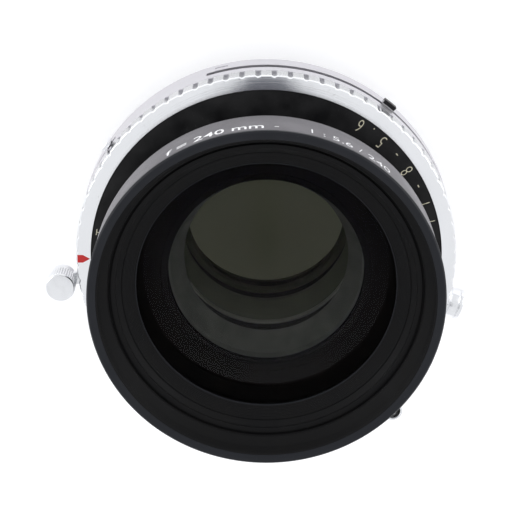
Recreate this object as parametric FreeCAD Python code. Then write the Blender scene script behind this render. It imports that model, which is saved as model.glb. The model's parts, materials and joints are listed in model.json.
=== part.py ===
import FreeCAD, Part

# View-camera lens, 240 mm f/5.6, in a size 3 between-lens leaf shutter.
# Millimetres. +Z runs along the optical axis out of the front glass, the origin is on that axis where
# the shutter seats on its lens board, and +Y is the top of the shutter. Row angles are measured from +X
# towards +Y, so they run anticlockwise for someone who looks into the front glass.

import math
import os

from FreeCAD import Vector

Z = Vector(0, 0, 1)
ORIGIN = Vector(0, 0, 0)

# shutter case
CASE_R = 51.0
CASE_TOP = 13.0
CASE_INNER_R = 49.3
BLADE_WELL_R = 46.75
SHELF_R = 48.8
FLOOR = 3.4
SHELF_Z = 6.4
SEAT_R = 36.0
SEAT_H = 1.8
TUBE_R = 31.0
TUBE_LENGTH = 9.0
CELL_THREAD_R = 29.0
SHUTTER_BORE_R = 22.5

# iris
IRIS_BLADES = 7
IRIS_PIVOT_R = 45.0
IRIS_PIN_OFFSET = 4.4
IRIS_PIN_R = 0.45
IRIS_OUTER_R = 42.5
IRIS_SWING = 27.0
IRIS_Z = 3.6
IRIS_PITCH = 0.16
IRIS_THICK = 0.1
IRIS_SPAN = 96.0
CAM_Z = 5.0
CAM_TURN = 54.0
CAM_INNER_R = 41.6
LEVER_ROW = -41.0

# shutter leaves
LEAVES = 5
LEAF_PIVOT_R = 44.2
LEAF_PIN_OFFSET = 3.2
LEAF_PIN_R = 0.5
LEAF_OUTER_R = 41.6
LEAF_SWING = 30.0
LEAF_Z = 7.2
LEAF_PITCH = 0.2
LEAF_THICK = 0.12
LEAF_SPAN = 112.0
LEAF_RING_Z = 8.4
LEAF_RING_R = 46.42
LEAF_TURN = 9.0
PREVIEW_ROW = 53.0
BLADE_INNER_R = 22.6

# plates, pillars and the governor floor
PLATE_R = 49.22
MECHANISM_Z = 9.6
MECHANISM_TOP = 10.6
PILLAR_R = 47.4
PILLAR_ROWS = (30, 84, 150, 210, 270)
FRONT_TUBE_R = 31.5
FRONT_TUBE_TOP = 17.9
FACE_Z = 16.4
FACE_TOP = 17.8
FACE_R = 47.0
FACE_PILLAR_R = 37.0
FACE_PILLAR_ROWS = (30, 150, 270)

# speed ring
RING_R = 51.05
RING_INNER_R = 47.06
RING_Z = 13.15
RING_TOP = 18.0
RING_NOTCHES = 76
NOTCH_R = 0.7
NOTCH_DEPTH = 0.32
POINTER_ROW = 88.0

# cocking lever and governor
COCKING_ROW = 96.8
COCKING_TURN = 38.0
COCKING_RING_R = 35.4
COCKING_Z = 10.7
COCKING_TOP = 12.3
KNOB_PLACE_R = 56.4
KNOB_R = 4.0
KNOB_TOP = 17.8
KNOB_FOOT = 8.9
GEAR_MODULE = 0.5
SECTOR_PITCH_R = 36.0
PINION_TEETH = 16
PINION_ROW = 220.0
GOVERNOR_R = 40.05
ESCAPE_TEETH = 15
ESCAPE_R = 3.5
PALLET_ROW = 230.0
PALLET_R = 41.4
SPRING_R = 40.4
SPRING_ROW = 305.0

# release lever
RELEASE_ROW = 172.0
RELEASE_PIVOT_R = 43.0

# terminals
SYNC_ROW = -110.0
SYNC_Z = 8.5
SYNC_R = 4.5
SYNC_BORE_R = 3.2
SYNC_END_R = 56.5
CABLE_ROW = -146.0
CABLE_PLACE_R = 60.6
CABLE_R = 2.85
CABLE_BORE_R = 2.2

# front cell
BARREL_R = 36.8
DRUM_R = 44.6
DRUM_Z = 34.3
DRUM_TOP = 39.0
BAND_R = 45.3
BAND_TOP = 47.35
RIM_R = 45.7
RIM_TOP = 48.6
FILTER_R = 43.0
FILTER_Z = 44.0
FRONT_GLASS_R = 35.0
FRONT_VERTEX = 43.8

# rear cell
REAR_BARREL_R = 30.0
REAR_END = -30.0
REAR_GLASS_R = 25.0
REAR_VERTEX = -28.8

parts = {}


def polar(radius, row, height=0.0):
    """The point at this radius and row angle."""
    angle = math.radians(row)
    return Vector(radius * math.cos(angle), radius * math.sin(angle), height)


def turned(outline):
    """A solid turned about Z from its outline of (radius, height) points; a point with four values is the
    middle and the end of an arc."""
    edges = []
    start = Vector(outline[0][0], 0, outline[0][1])
    first = start
    for step in outline[1:]:
        end = Vector(step[-2], 0, step[-1])
        if len(step) == 4:
            edges.append(Part.Arc(start, Vector(step[0], 0, step[1]), end).toShape())
        else:
            edges.append(Part.LineSegment(start, end).toShape())
        start = end
    edges.append(Part.LineSegment(start, first).toShape())
    return Part.Face(Part.Wire(edges)).revolve(ORIGIN, Z, 360)


def ring(inner, outer, low, high):
    """A plain ring about Z."""
    return turned([(inner, low), (outer, low), (outer, high), (inner, high)])


def rod(radius, low, high, place_r=0.0, row=0.0):
    """A round rod along Z."""
    return Part.makeCylinder(radius, high - low, polar(place_r, row, low), Z)


def sector(inner, outer, low, high, row_from, row_to):
    """Part of a ring, between two row angles."""
    middle = (row_from + row_to) / 2
    edges = [
        Part.Arc(*[polar(outer, row, low) for row in (row_from, middle, row_to)]).toShape(),
        Part.LineSegment(polar(outer, row_to, low), polar(inner, row_to, low)).toShape(),
        Part.Arc(*[polar(inner, row, low) for row in (row_to, middle, row_from)]).toShape(),
        Part.LineSegment(polar(inner, row_from, low), polar(outer, row_from, low)).toShape(),
    ]
    return Part.Face(Part.Wire(edges)).extrude(Z * (high - low))


def plate(points, low, high):
    """A flat plate with straight edges, from its corners (x, y)."""
    corners = [Vector(x, y, low) for x, y in points]
    return Part.Face(Part.makePolygon(corners + corners[:1])).extrude(Z * (high - low))


def bar(inner, outer, half_width, low, high, row):
    """A straight bar that runs outwards along a row angle."""
    corners = [(inner, -half_width), (outer, -half_width), (outer, half_width), (inner, half_width)]
    return spun(plate(corners, low, high), row)


def spun(shape, row):
    """A copy turned about Z."""
    copy = shape.copy()
    copy.rotate(ORIGIN, Z, row)
    return copy


def group(solids):
    """Separate solids that share one node."""
    return Part.makeCompound(solids)


def cam_slot(pivot_r, offset, swing, turn, half_width, low, high):
    """The slot in a drive ring that swings a blade by a steady share of the ring's turn. The blade's pin sits
    beside its pivot by the offset, and the slot's middle line is where the pin lies as the ring sees it."""
    def place(share):
        angle = math.radians(swing * share)
        x = pivot_r - offset * math.sin(angle)
        y = offset * math.cos(angle)
        back = math.radians(-turn * share)
        return Vector(x * math.cos(back) - y * math.sin(back), x * math.sin(back) + y * math.cos(back), low)

    count = 16
    shares = [-0.01 + 1.02 * i / count for i in range(count + 1)]
    sides = ([], [])
    for share in shares:
        along = (place(share + 0.001) - place(share - 0.001)).normalize()
        across = Vector(-along.y, along.x, 0) * half_width
        sides[0].append(place(share) + across)
        sides[1].append(place(share) - across)
    out_curve = Part.BSplineCurve()
    out_curve.interpolate(sides[0])
    back_curve = Part.BSplineCurve()
    back_curve.interpolate(sides[1][::-1])
    tip = place(shares[-1]) + (place(shares[-1]) - place(shares[-1] - 0.001)).normalize() * half_width
    tail = place(shares[0]) - (place(shares[0] + 0.001) - place(shares[0])).normalize() * half_width
    edges = [
        out_curve.toShape(),
        Part.Arc(sides[0][-1], tip, sides[1][-1]).toShape(),
        back_curve.toShape(),
        Part.Arc(sides[1][0], tail, sides[0][0]).toShape(),
    ]
    return Part.Face(Part.Wire(edges)).extrude(Z * (high - low))


def glass(front, front_bend, rear, rear_bend, radius, front_clear, rear_clear):
    """A lens element between two vertex heights. A bend is the surface's radius, positive where its centre
    lies towards the rear, and 0 where it is flat; past its clear radius a surface is a flat rim."""
    def sag(bend, at):
        if bend == 0:
            return 0.0
        return math.copysign(abs(bend) - math.sqrt(bend * bend - at * at), bend)

    front_rim = front - sag(front_bend, front_clear)
    rear_rim = rear - sag(rear_bend, rear_clear)
    outline = [(0, front)]
    outline.append((front_clear / 2, front - sag(front_bend, front_clear / 2), front_clear, front_rim))
    if front_clear < radius:
        outline.append((radius, front_rim))
    outline.append((radius, rear_rim))
    if rear_clear < radius:
        outline.append((rear_clear, rear_rim))
    outline.append((rear_clear / 2, rear - sag(rear_bend, rear_clear / 2), 0, rear))
    return turned(outline)


def gear(teeth, module, low, high):
    """A wheel with straight-flanked teeth, a little thin at the pitch circle so that a pair runs freely."""
    pitch_r = teeth * module / 2
    tip = pitch_r + 0.8 * module
    root = pitch_r - 1.15 * module
    pitch_angle = 360.0 / teeth
    thickness = 0.40
    points = []
    for i in range(teeth):
        middle = i * pitch_angle
        for radius, share in ((root, -0.78), (tip, -0.30), (tip, 0.30), (root, 0.78)):
            corner = polar(radius, middle + share * thickness * pitch_angle)
            points.append((corner.x, corner.y))
    return plate(points, low, high)


# ---------------------------------------------------------------- shutter case and plates
def make_case():
    """The cup that holds everything, with its lens-board tube behind."""
    case = turned([
        (CELL_THREAD_R, -TUBE_LENGTH), (TUBE_R - 0.4, -TUBE_LENGTH), (TUBE_R, 0.4 - TUBE_LENGTH), (TUBE_R, 0),
        (SEAT_R, 0), (SEAT_R, SEAT_H), (CASE_R - 0.5, SEAT_H), (CASE_R, SEAT_H + 0.5), (CASE_R, CASE_TOP),
        (CASE_INNER_R, CASE_TOP), (CASE_INNER_R, SHELF_Z), (SHELF_R, SHELF_Z), (SHELF_R, 4.95),
        (BLADE_WELL_R, 4.95), (BLADE_WELL_R, FLOOR), (SHUTTER_BORE_R, FLOOR), (SHUTTER_BORE_R, SEAT_H), (CELL_THREAD_R, SEAT_H),
    ])
    cuts = [
        sector(48.0, 52.0, 7.65, 9.95, -75, 16),
        sector(48.0, 52.0, 8.0, 9.6, PREVIEW_ROW - 3, PREVIEW_ROW + LEAF_TURN + 3),
        sector(48.0, 52.0, MECHANISM_TOP, CASE_TOP + 1, COCKING_ROW - 2.6, COCKING_ROW + COCKING_TURN + 2.6),
        sector(48.0, 52.0, MECHANISM_TOP, CASE_TOP + 1, RELEASE_ROW - 6, RELEASE_ROW + 6),
        Part.makeCylinder(2.2, 4, polar(48.0, SYNC_ROW, SYNC_Z), polar(1, SYNC_ROW)),
        rod(0.8, -1, SEAT_H + 1, 33.6, 90),
    ]
    cuts.append(sector(CASE_R - 0.4, 52.0, 4.6, 5.4, 9.5, 13.5))
    for i in range(IRIS_BLADES):
        cuts.append(rod(0.55, 2.3, FLOOR + 0.1, IRIS_PIVOT_R, i * 360.0 / IRIS_BLADES))
    return case.cut(Part.makeCompound(cuts))


def make_iris_cover():
    """The thin plate between the iris and the shutter leaves, with the leaves' pivot holes."""
    half = 3.7
    cover = ring(SHUTTER_BORE_R, PLATE_R, SHELF_Z, 7.0)
    cuts = [sector(46.6, 50.0, SHELF_Z - 1, 8.0, LEVER_ROW - half, LEVER_ROW + CAM_TURN + half)]
    for i in range(LEAVES):
        cuts.append(rod(0.55, SHELF_Z - 1, 8.0, LEAF_PIVOT_R, i * 360.0 / LEAVES))
    return cover.cut(Part.makeCompound(cuts))


def make_mechanism_plate():
    """The plate that carries the clockwork, in one piece with the front cell's threaded tube."""
    return turned([
        (SHUTTER_BORE_R, MECHANISM_Z), (PLATE_R, MECHANISM_Z), (PLATE_R, MECHANISM_TOP),
        (FRONT_TUBE_R, MECHANISM_TOP), (FRONT_TUBE_R, FRONT_TUBE_TOP), (CELL_THREAD_R, FRONT_TUBE_TOP),
        (CELL_THREAD_R, MECHANISM_TOP), (SHUTTER_BORE_R, MECHANISM_TOP),
    ])


def make_face_plate():
    """The black dial plate, with a skirt that keeps the speed ring down."""
    return turned([
        (31.6, FACE_Z), (45.3, FACE_Z), (45.3, 14.35), (FACE_R, 14.35), (FACE_R, FACE_TOP - 0.15),
        (FACE_R - 0.15, FACE_TOP), (31.6, FACE_TOP),
    ])


def make_screw(low, head_z, place_r, row, head_r=1.5, shank_r=0.7, head_h=0.6):
    """A slotted pan-head screw that points to the rear."""
    head = rod(head_r, head_z, head_z + head_h, place_r, row)
    slot = plate([(-3, -0.18), (3, -0.18), (3, 0.18), (-3, 0.18)], head_z + head_h * 0.45, head_z + 2)
    slot.rotate(ORIGIN, Z, row + 35)
    slot.translate(polar(place_r, row))
    return head.fuse(rod(shank_r, low, head_z, place_r, row)).cut(slot)


parts["shutter_case"] = make_case()
parts["iris_cover_plate"] = make_iris_cover()

plate_pillars = []
plate_screws = []
mechanism_holes = []
for row in PILLAR_ROWS:
    plate_pillars.append(rod(0.88, 7.0, MECHANISM_Z, PILLAR_R, row).cut(rod(0.5, 8.0, 11.0, PILLAR_R, row)))
    plate_screws.append(make_screw(8.4, MECHANISM_TOP, PILLAR_R, row, 1.1, 0.5, 0.5))
    mechanism_holes.append(rod(0.5, 9.0, 11.0, PILLAR_R, row))

face_pillars = []
face_screws = []
face_holes = []
for row in FACE_PILLAR_ROWS:
    post = rod(1.2, MECHANISM_TOP, FACE_Z, FACE_PILLAR_R, row)
    face_pillars.append(post.cut(rod(0.7, 14.0, 17.0, FACE_PILLAR_R, row)))
    face_screws.append(make_screw(14.6, FACE_TOP - 0.55, FACE_PILLAR_R, row, 1.4, 0.7, 0.55))
    face_holes.append(rod(0.7, 16.0, 18.0, FACE_PILLAR_R, row))
    face_holes.append(rod(1.4, FACE_TOP - 0.55, 18.0, FACE_PILLAR_R, row))

parts["mechanism_plate"] = make_mechanism_plate().cut(Part.makeCompound(mechanism_holes))
parts["face_plate"] = make_face_plate().cut(Part.makeCompound(face_holes))
parts["plate_pillars"] = group(plate_pillars)
parts["plate_screws"] = group(plate_screws)
parts["face_pillars"] = group(face_pillars)
parts["face_screws"] = group(face_screws)
parts["index_screw"] = rod(0.8, 0.15, SEAT_H, 33.6, 90)

face_nut = turned([(31.5, FACE_TOP), (34.4, FACE_TOP), (34.4, 18.4), (34.1, 18.7), (31.5, 18.7)])
nut_notches = [bar(33.2, 35.5, 0.8, 18.1, 19.0, row) for row in (0, 90, 180, 270)]
parts["face_nut"] = face_nut.cut(Part.makeCompound(nut_notches))


# ---------------------------------------------------------------- iris
def make_blade(pivot_r, outer_r, span, lug_r, offset, pin_r, low, thick, pin_low, pin_top):
    """One thin blade: an arched leaf, a lug beside it, a pivot pin behind and a drive pin in front."""
    leaf = sector(BLADE_INNER_R, outer_r, low, low + thick, -4.0, span)
    lug_rows = math.degrees(offset / pivot_r)
    lug = sector(outer_r - 1.0, pivot_r + lug_r, low, low + thick, -1.6, lug_rows + 1.6)
    pivot = rod(0.5, pin_low, low + thick, pivot_r, 0)
    pin = Part.makeCylinder(pin_r, pin_top - low, Vector(pivot_r, offset, low), Z)
    return leaf.fuse(lug).fuse(pivot).fuse(pin)


for i in range(IRIS_BLADES):
    level = IRIS_Z + i * IRIS_PITCH
    blade = make_blade(IRIS_PIVOT_R, IRIS_OUTER_R, IRIS_SPAN, 1.2, IRIS_PIN_OFFSET, IRIS_PIN_R,
                       level, IRIS_THICK, 2.4, 5.9)
    parts["iris_blade_%d" % (i + 1)] = spun(blade, i * 360.0 / IRIS_BLADES)

iris_slot = cam_slot(IRIS_PIVOT_R, IRIS_PIN_OFFSET, IRIS_SWING, CAM_TURN, IRIS_PIN_R + 0.07, CAM_Z - 1, 7.0)
iris_slots = [spun(iris_slot, i * 360.0 / IRIS_BLADES) for i in range(IRIS_BLADES)]
riser_half = 2.1
aperture_ring = ring(CAM_INNER_R, SHELF_R - 0.08, CAM_Z, 6.0).cut(Part.makeCompound(iris_slots))
riser = sector(47.0, 48.4, CAM_Z + 0.5, 9.5, LEVER_ROW - riser_half, LEVER_ROW + riser_half)
arm = sector(47.0, 52.0, 8.1, 9.5, LEVER_ROW - riser_half, LEVER_ROW + riser_half)
parts["aperture_ring"] = aperture_ring.fuse(riser).fuse(arm)
aperture_lever = sector(51.4, 52.5, 7.6, 9.7, LEVER_ROW - 2.1, LEVER_ROW + 2.1)
parts["aperture_lever"] = aperture_lever.cut(arm)

# ---------------------------------------------------------------- shutter leaves
for i in range(LEAVES):
    level = LEAF_Z + i * LEAF_PITCH
    leaf = make_blade(LEAF_PIVOT_R, LEAF_OUTER_R, LEAF_SPAN, 1.2, LEAF_PIN_OFFSET, LEAF_PIN_R,
                      level, LEAF_THICK, 6.5, 9.15)
    parts["shutter_leaf_%d" % (i + 1)] = spun(leaf, i * 360.0 / LEAVES)

leaf_slot = cam_slot(LEAF_PIVOT_R, LEAF_PIN_OFFSET, LEAF_SWING, LEAF_TURN, LEAF_PIN_R + 0.07, 8.0, 10.0)
leaf_slots = [spun(leaf_slot, i * 360.0 / LEAVES) for i in range(LEAVES)]
leaf_ring = ring(40.9, LEAF_RING_R, LEAF_RING_Z, 9.2).cut(Part.makeCompound(leaf_slots))
preview_arm = bar(45.5, 52.0, 1.1, LEAF_RING_Z, 9.2, PREVIEW_ROW)
parts["leaf_drive_ring"] = leaf_ring.fuse(preview_arm)
parts["preview_lever"] = bar(51.35, 52.5, 1.4, 8.0, 12.7, PREVIEW_ROW).cut(preview_arm)


# ---------------------------------------------------------------- speed ring
def make_pointer(low, high):
    """The red index: a straight foot at the ring's outer edge and a point at its inner edge."""
    foot = RING_R - 0.35
    neck = 49.2
    shape = plate([(foot, -1.1), (foot, 1.1), (neck, 1.1), (RING_INNER_R + 0.25, 0), (neck, -1.1)], low, high)
    return spun(shape, POINTER_ROW)


speed_ring = turned([
    (43.4, RING_Z), (RING_R, RING_Z), (RING_R, RING_TOP - 0.4), (RING_R - 0.4, RING_TOP),
    (RING_INNER_R, RING_TOP), (RING_INNER_R, 14.2), (43.4, 14.2),
])
notch = rod(NOTCH_R, RING_Z - 1, RING_TOP + 1, RING_R + NOTCH_R - NOTCH_DEPTH, 0)
notches = [spun(notch, POINTER_ROW + (i + 0.5) * 360.0 / RING_NOTCHES) for i in range(RING_NOTCHES)]
speed_ring = speed_ring.cut(Part.makeCompound(notches))
parts["speed_ring"] = speed_ring.cut(make_pointer(RING_TOP - 0.3, RING_TOP + 1))
parts["speed_pointer"] = make_pointer(RING_TOP - 0.3, RING_TOP)

speed_cam = ring(38.6, 45.1, 14.2, 14.9)
cam_windows = [sector(40.2, 42.6, 14.0, 15.0, 20, 96), sector(41.0, 43.2, 14.0, 15.0, 200, 288)]
parts["speed_cam"] = speed_cam.cut(Part.makeCompound(cam_windows))

# ---------------------------------------------------------------- cocking lever and governor
sector_teeth = int(round(2 * SECTOR_PITCH_R / GEAR_MODULE))
tooth_rows = sector(COCKING_RING_R - 0.6, SECTOR_PITCH_R + 1, COCKING_Z, COCKING_TOP, 176, 226)
toothed = gear(sector_teeth, GEAR_MODULE, COCKING_Z, COCKING_TOP)
teeth_phase = PINION_ROW - round(PINION_ROW / (360.0 / sector_teeth)) * 360.0 / sector_teeth
tooth_sector = spun(toothed, teeth_phase).common(tooth_rows)
cocking_ring = ring(FRONT_TUBE_R + 0.08, COCKING_RING_R, COCKING_Z, COCKING_TOP).fuse(tooth_sector)
cocking_arm = bar(34.0, KNOB_PLACE_R, 1.7, COCKING_Z + 0.2, COCKING_TOP, COCKING_ROW)
arm_end = rod(KNOB_R - 0.2, COCKING_Z + 0.2, COCKING_TOP, KNOB_PLACE_R, COCKING_ROW)
knob_hole = rod(0.95, COCKING_Z - 1, COCKING_TOP + 1, KNOB_PLACE_R, COCKING_ROW)
parts["cocking_ring"] = cocking_ring.fuse(cocking_arm).fuse(arm_end).cut(knob_hole)

knob = turned([
    (0.95, COCKING_TOP), (KNOB_R - 0.4, COCKING_TOP), (KNOB_R, COCKING_TOP + 0.4), (KNOB_R, 15.0),
    (KNOB_R - 0.3, 15.2), (KNOB_R - 0.3, 15.5), (KNOB_R, 15.7), (KNOB_R, KNOB_TOP - 0.5),
    (KNOB_R - 0.15, KNOB_TOP - 0.15, KNOB_R - 0.5, KNOB_TOP), (0, KNOB_TOP), (0, 15.6), (0.95, 15.6),
])
knob.translate(polar(KNOB_PLACE_R, COCKING_ROW))
parts["cocking_knob"] = knob
knob_screw = rod(0.95, COCKING_Z + 0.2, 15.5, KNOB_PLACE_R, COCKING_ROW)
knob_foot = rod(KNOB_R - 0.4, KNOB_FOOT, COCKING_Z + 0.2, KNOB_PLACE_R, COCKING_ROW)
parts["cocking_knob_screw"] = knob_screw.fuse(knob_foot)

governor_place = polar(GOVERNOR_R, PINION_ROW)
pinion = gear(PINION_TEETH, GEAR_MODULE, 10.8, COCKING_TOP)
pinion.rotate(ORIGIN, Z, PINION_ROW + 180 + 180.0 / PINION_TEETH)
pinion.translate(governor_place)
pinion = pinion.cut(rod(0.66, 10, 14, GOVERNOR_R, PINION_ROW))
parts["governor_pinion"] = pinion

escape_points = []
for i in range(ESCAPE_TEETH):
    for radius, share in ((ESCAPE_R - 0.8, 0.0), (ESCAPE_R, 0.75), (ESCAPE_R, 0.9)):
        corner = polar(radius, (i + share) * 360.0 / ESCAPE_TEETH)
        escape_points.append((corner.x, corner.y))
escape_wheel = plate(escape_points, COCKING_TOP, 12.9)
escape_wheel.translate(governor_place)
parts["escape_wheel"] = escape_wheel.cut(rod(0.66, 10, 14, GOVERNOR_R, PINION_ROW))
studs = [rod(0.6, MECHANISM_TOP, 13.0, GOVERNOR_R, PINION_ROW)]

pallet_place = polar(PALLET_R, PALLET_ROW)
towards = governor_place - pallet_place
facing = math.degrees(math.atan2(towards.y, towards.x))
pallet = plate([(-2.6, -1.2), (-1.0, -0.9), (0.9, -2.5), (1.9, -2.9), (1.5, -1.9), (0.9, 0), (1.5, 1.9),
                (1.9, 2.9), (0.9, 2.5), (-1.0, 0.9), (-2.6, 1.2)], COCKING_TOP, 12.9)
pallet = pallet.cut(rod(0.56, 10, 14))
pallet.rotate(ORIGIN, Z, facing)
pallet.translate(pallet_place)
parts["governor_pallet"] = pallet
studs.append(rod(0.5, MECHANISM_TOP, 13.0, PALLET_R, PALLET_ROW))



def spiral_band(inner, outer, turns, thick, low, high):
    """A flat spiral spring about Z, a band of even thickness between two spline sides."""
    count = turns * 12
    sides = ([], [])
    for i in range(count + 1):
        radius = inner + (outer - inner) * i / count
        sides[0].append(polar(radius - thick / 2, i * 30.0, low))
        sides[1].append(polar(radius + thick / 2, i * 30.0, low))
    near = Part.BSplineCurve()
    near.interpolate(sides[0])
    far = Part.BSplineCurve()
    far.interpolate(sides[1][::-1])
    edges = [
        near.toShape(),
        Part.LineSegment(sides[0][-1], sides[1][-1]).toShape(),
        far.toShape(),
        Part.LineSegment(sides[1][0], sides[0][0]).toShape(),
    ]
    return Part.Face(Part.Wire(edges)).extrude(Z * (high - low))


main_spring = spiral_band(1.35, 4.1, 5, 0.22, 11.0, 12.8)
main_spring.translate(polar(SPRING_R, SPRING_ROW))
parts["main_spring"] = main_spring
studs.append(rod(1.24, MECHANISM_TOP, 12.9, SPRING_R, SPRING_ROW))

# ---------------------------------------------------------------- release lever
release_place = polar(RELEASE_PIVOT_R, RELEASE_ROW)
release_lever = bar(37.9, 53.5, 1.3, 10.9, 12.1, RELEASE_ROW)
release_lever = release_lever.fuse(rod(2.2, 10.9, 12.1, RELEASE_PIVOT_R, RELEASE_ROW))
release_tab = bar(52.2, 53.5, 2.6, 5.2, 12.1, RELEASE_ROW)
release_lever = release_lever.fuse(release_tab)
parts["release_lever"] = release_lever.cut(rod(0.85, 10, 13, RELEASE_PIVOT_R, RELEASE_ROW))
studs.append(rod(0.8, MECHANISM_TOP, 13.0, RELEASE_PIVOT_R, RELEASE_ROW))
parts["mechanism_studs"] = group(studs)
coils = [Part.makeTorus(1.25, 0.18, release_place + Z * height, Z) for height in (12.32, 12.68)]
parts["release_spring"] = group(coils)

# ---------------------------------------------------------------- terminals on the case wall
sync_out = polar(1, SYNC_ROW)
sync_root = polar(0, SYNC_ROW, SYNC_Z)


def sync_rod(radius, from_r, to_r):
    """A round rod that runs outwards along the sync terminal's own axis."""
    return Part.makeCylinder(radius, to_r - from_r, sync_root + sync_out * from_r, sync_out)


case_core = rod(CASE_R, -20, 40)
sync_shell = sync_rod(SYNC_R, 48.5, 52.6).fuse(sync_rod(SYNC_R - 0.3, 52.5, SYNC_END_R)).cut(case_core)
parts["sync_terminal"] = sync_shell.cut(sync_rod(SYNC_BORE_R, 48.0, 60.0))
parts["sync_insulator"] = sync_rod(SYNC_BORE_R, 51.1, 53.4).cut(sync_rod(0.6, 48.0, 60.0))
parts["sync_contact"] = sync_rod(0.6, 49.6, 54.8)

cable_bracket = bar(48.5, CABLE_PLACE_R, 2.4, 5.4, 8.4, CABLE_ROW).cut(case_core)
cable_bracket = cable_bracket.cut(rod(CABLE_R, 0, 20, CABLE_PLACE_R, CABLE_ROW))
parts["cable_bracket"] = cable_bracket
cable_socket = rod(CABLE_R, 3.6, 11.0, CABLE_PLACE_R, CABLE_ROW)
cable_socket = cable_socket.cut(rod(CABLE_BORE_R, 5.0, 12.0, CABLE_PLACE_R, CABLE_ROW))
parts["cable_socket"] = cable_socket.cut(rod(0.9, 3.0, 6.0, CABLE_PLACE_R, CABLE_ROW))

# ---------------------------------------------------------------- front cell
parts["front_barrel"] = turned([
    (24.5, 11.2), (28.95, 11.2), (28.95, FRONT_TUBE_TOP + 0.02), (31.4, FRONT_TUBE_TOP + 0.02), (31.4, 19.0),
    (BARREL_R, 19.6), (BARREL_R, 30.6), (DRUM_R, DRUM_Z), (DRUM_R, DRUM_TOP), (42.05, DRUM_TOP),
    (42.05, 36.9),
    (FRONT_GLASS_R + 0.05, 36.9), (FRONT_GLASS_R + 0.05, 24.0), (26.05, 24.0), (26.05, 17.0), (24.5, 17.0),
])
parts["front_bezel"] = turned([
    (37.4, 36.92), (42.0, 36.92), (42.0, DRUM_TOP), (DRUM_R, DRUM_TOP), (DRUM_R, BAND_TOP), (RIM_R, BAND_TOP),
    (RIM_R, RIM_TOP - 0.4), (RIM_R - 0.4, RIM_TOP), (44.4, RIM_TOP), (FILTER_R, 48.0), (FILTER_R, FILTER_Z),
    (40.7, 42.0), (40.7, 41.2), (40.2, 41.2), (40.2, 41.8), (38.9, 41.5), (38.9, 40.9), (37.4, 39.8),
])
parts["front_band"] = ring(DRUM_R, BAND_R, DRUM_Z, BAND_TOP)
parts["front_retaining_ring"] = turned([(33.8, 37.06), (37.36, 37.06), (37.36, 39.75), (33.8, 37.8)])
parts["front_glass_1"] = glass(FRONT_VERTEX, 85, 31.5, -160, FRONT_GLASS_R, FRONT_GLASS_R, FRONT_GLASS_R)
parts["front_glass_2"] = glass(31.5, -160, 29.0, 92.5, FRONT_GLASS_R, FRONT_GLASS_R, 30.0)
parts["front_glass_3"] = glass(27.22, 55, 23.22, 48, 26.0, 24.2, 23.6)
parts["front_spacer"] = ring(24.3, 26.0, 21.64, 24.0)
parts["front_baffle"] = turned([(20.0, 11.4), (24.45, 11.4), (24.45, 15.8), (23.4, 15.8)])

# ---------------------------------------------------------------- rear cell
parts["rear_barrel"] = turned([
    (26.5, 1.4), (28.95, 1.4), (28.95, -TUBE_LENGTH - 0.05), (REAR_BARREL_R, -TUBE_LENGTH - 0.05),
    (REAR_BARREL_R, REAR_END + 0.4), (REAR_BARREL_R - 0.4, REAR_END), (27.2, REAR_END),
    (26.55, REAR_END + 0.65), (26.55, -24.5), (REAR_GLASS_R + 0.05, -24.5), (REAR_GLASS_R + 0.05, -15.9),
    (22.65, -15.9), (22.65, -9.0),
    (21.6, -9.0), (21.6, -7.5),
])
parts["rear_glass_1"] = glass(-14.9, -42, -18.4, -48, 22.6, 21.3, 21.3)
parts["rear_glass_2"] = glass(-19.2, -75, -21.0, 140, REAR_GLASS_R, 22.0, REAR_GLASS_R)
parts["rear_glass_3"] = glass(-21.0, 140, REAR_VERTEX, -70, REAR_GLASS_R, REAR_GLASS_R, 23.8)
parts["rear_spacer"] = ring(21.4, 22.6, -15.85, -13.45)
parts["rear_retaining_ring"] = turned([(23.9, -26.4), (26.5, -26.4), (26.5, -24.66), (23.9, -24.66)])

os.makedirs("parts", exist_ok=True)
for name, shape in parts.items():
    solids = shape.Solids
    if not solids or not all(s.isValid() and s.Volume > 0 for s in solids):
        raise ValueError("part %s is not a sound solid" % name)
    shape.exportStep("parts/%s.step" % name)
print(len(parts), "parts")
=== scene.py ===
import json
import math

import bmesh
import bpy
import numpy as np
from bpy.props import FloatProperty, FloatVectorProperty, IntProperty, PointerProperty
from mathutils import Matrix, Vector


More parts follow.
